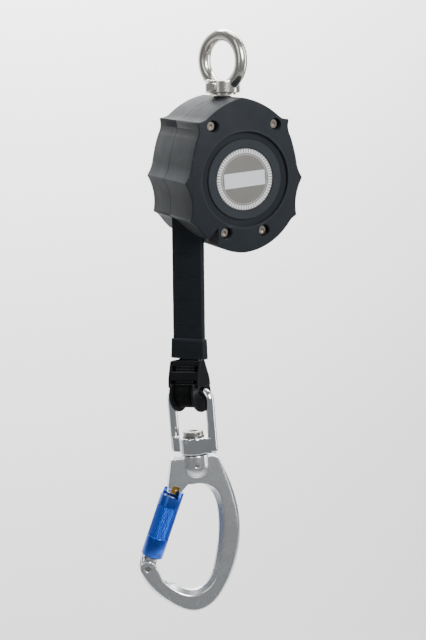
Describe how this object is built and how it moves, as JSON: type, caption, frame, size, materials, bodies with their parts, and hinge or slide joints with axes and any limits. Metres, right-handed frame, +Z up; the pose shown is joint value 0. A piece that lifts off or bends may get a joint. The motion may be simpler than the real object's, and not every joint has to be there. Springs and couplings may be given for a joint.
{
  "type": "self retracting lifeline",
  "caption": "Fall arrest block with a sprung webbing line: round moulded housing, anchor eye, absorber pack, swivel and twist-lock carabiner.",
  "frame": {"origin": "centre of the anchor eye's hole", "axes": "+Z up through the anchor eye, +X to the right seen from the nameplate side, -Y towards the front, the drum's axis along Y"},
  "size_m": [0.1526, 0.0978, 0.5062],
  "materials": {
    "stainless": "polished stainless steel",
    "stud_steel": "turned alloy steel",
    "housing_plastic": "moulded black nylon, fine spark texture",
    "plate_metal": "etched and printed metal plate",
    "nickel_steel": "nickel plated steel",
    "brass_parts": "turned brass",
    "frame_steel": "zinc plated steel",
    "bronze": "sintered bronze",
    "brake_steel": "hardened steel",
    "spring_steel": "blued spring steel",
    "drum_plastic": "glass filled nylon",
    "webbing": "woven polyester webbing",
    "sleeve_rubber": "moulded black rubber",
    "guard_plastic": "moulded black nylon",
    "chrome_steel": "polished chrome plated forging",
    "nut_steel": "turned stainless steel",
    "forged_aluminium": "satin polished forged aluminium",
    "blue_anodised": "blue anodised aluminium with a knurled grip"
  },
  "bodies": {
    "anchor": {"anchor_eye_nut": "stainless", "anchor_stud": "stud_steel", "anchor_washer": "stainless"},
    "housing": {"front_cover": "housing_plastic", "rear_cover": "housing_plastic", "nameplate": "plate_metal", "cover_screws": "nickel_steel", "cover_inserts": "brass_parts", "frame_plate_front": "frame_steel", "frame_plate_rear": "frame_steel", "yoke_block": "frame_steel", "swivel_bush": "drum_plastic", "frame_spacer": "frame_steel", "frame_rivets": "frame_steel", "drum_axle": "frame_steel", "axle_clips": "frame_steel", "ratchet_ring": "brake_steel", "spring_case": "drum_plastic", "mainspring": "spring_steel", "mouth_guide": "drum_plastic"},
    "drum": {"drum_hub": "drum_plastic", "drum_flange_front": "drum_plastic", "drum_flange_rear": "drum_plastic", "drum_bush": "bronze", "spring_arbor": "drum_plastic", "webbing_coil": "webbing", "pawl_pins": "brake_steel", "pawl_springs": "spring_steel"},
    "pawl_a": {"pawl_a": "brake_steel"},
    "pawl_b": {"pawl_b": "brake_steel"},
    "line": {"webbing_strand": "webbing", "pack_sleeve": "sleeve_rubber", "absorber_pack": "webbing", "keeper_band": "sleeve_rubber", "webbing_loop": "webbing", "thimble": "guard_plastic", "loop_guard": "guard_plastic"},
    "bail": {"swivel_bail": "chrome_steel", "bush_lock_pin": "chrome_steel", "bail_bush": "bronze", "thrust_washers": "brake_steel"},
    "connector": {"carabiner_body": "forged_aluminium", "swivel_stud": "stud_steel", "swivel_nut": "nut_steel", "nose_insert": "brass_parts", "nose_ball": "nut_steel", "gate_hinge_pin": "nut_steel", "boss_cross_pin": "nut_steel"},
    "gate": {"gate": "forged_aluminium", "gate_spring": "spring_steel", "sleeve_stop_ring": "spring_steel"},
    "sleeve": {"locking_sleeve": "blue_anodised"}
  },
  "joints": [
    {"name": "housing_swivel", "type": "hinge", "parent": "anchor", "child": "housing", "pos_m": [0, 0, 0], "axis": [0, 0, 1], "continuous": true},
    {"name": "line_payout", "type": "slide", "parent": "housing", "child": "line", "axis": [-0.0433, -0.0951, -0.9945], "range_m": [0, 1.6], "stiffness_N_per_m": 5, "springref_m": -3, "deforming": ["webbing_strand", "mainspring"]},
    {"name": "drum_spin", "type": "hinge", "parent": "housing", "child": "drum", "pos_m": [0, 0, -0.098], "axis": [0, -1, 0], "range_deg": [0, 2880]},
    {"name": "pawl_a_swing", "type": "hinge", "parent": "drum", "child": "pawl_a", "pos_m": [0, 0, -0.076], "axis": [0, -1, 0], "range_deg": [0, 22], "stiffness_Nm_per_rad": 0.02, "springref_deg": -9.74},
    {"name": "pawl_b_swing", "type": "hinge", "parent": "drum", "child": "pawl_b", "pos_m": [0, 0, -0.12], "axis": [0, -1, 0], "range_deg": [0, 22]},
    {"name": "bail_swing", "type": "hinge", "parent": "line", "child": "bail", "pos_m": [-0.04368, -0.02015, -0.28316], "axis": [0.5766, -0.8092, 0.1125], "range_deg": [-60, 60]},
    {"name": "swivel_spin", "type": "hinge", "parent": "bail", "child": "connector", "pos_m": [-0.04258, -0.02702, -0.33822], "axis": [-0.0198, 0.1239, 0.9921], "continuous": true},
    {"name": "gate_open", "type": "hinge", "parent": "connector", "child": "gate", "pos_m": [-0.08862, -0.02478, -0.43699], "axis": [0.2886, 0.9507, -0.113], "range_deg": [0, 28], "stiffness_Nm_per_rad": 0.3, "springref_deg": -20.05},
    {"name": "sleeve_twist", "type": "hinge", "parent": "gate", "child": "sleeve", "pos_m": [-0.07426, -0.0247, -0.39965], "axis": [0.3589, 0.0019, 0.9334], "range_deg": [0, 90]}
  ],
  "couplings": [
    {"joint": "drum_spin", "follows": "line_payout", "rad_per_m": 31.416},
    {"joint": "pawl_b_swing", "follows": "pawl_a_swing", "ratio": 1}
  ]
}
